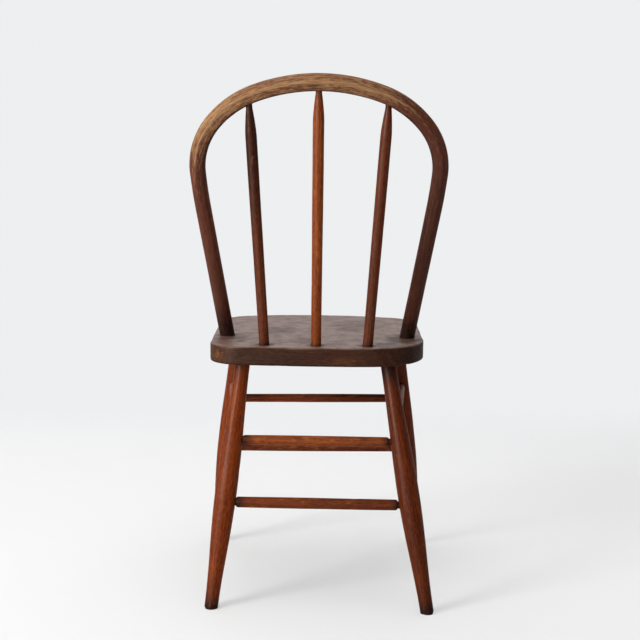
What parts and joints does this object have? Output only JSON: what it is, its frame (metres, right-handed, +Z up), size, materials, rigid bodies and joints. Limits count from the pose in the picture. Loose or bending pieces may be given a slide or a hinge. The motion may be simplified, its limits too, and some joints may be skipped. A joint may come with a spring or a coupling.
{
  "type": "bow-back wooden side chair",
  "caption": "Worn dark-stained wooden side chair: plank seat, bent bow back with slim spindles, splayed turned legs and double stretchers.",
  "frame": {"origin": "on the floor, under the middle of the chair's overall box", "axes": "+Z up, -Y towards the front edge of the seat, +Y towards the back, +X towards the sitter's left"},
  "size_m": [0.4256, 0.4215, 0.8934],
  "materials": {
    "seat_wood": "worn semi-gloss varnish, scratched and greyed",
    "bow_wood": "worn varnish, rubbed pale along the crown",
    "spindle_wood": "glossy red-brown varnish, worn",
    "leg_wood": "glossy red-brown varnish, dark at the feet",
    "stretcher_wood": "glossy red-brown varnish, worn"
  },
  "bodies": {
    "root": {"seat": "seat_wood", "bow": "bow_wood", "spindle_left": "spindle_wood", "spindle_centre": "spindle_wood", "spindle_right": "spindle_wood", "leg_front_left": "leg_wood", "leg_front_right": "leg_wood", "leg_rear_left": "leg_wood", "leg_rear_right": "leg_wood", "stretcher_front_upper": "stretcher_wood", "stretcher_front_lower": "stretcher_wood", "stretcher_rear_upper": "stretcher_wood", "stretcher_rear_lower": "stretcher_wood", "stretcher_left_upper": "stretcher_wood", "stretcher_left_lower": "stretcher_wood", "stretcher_right_upper": "stretcher_wood", "stretcher_right_lower": "stretcher_wood"}
  },
  "joints": []
}
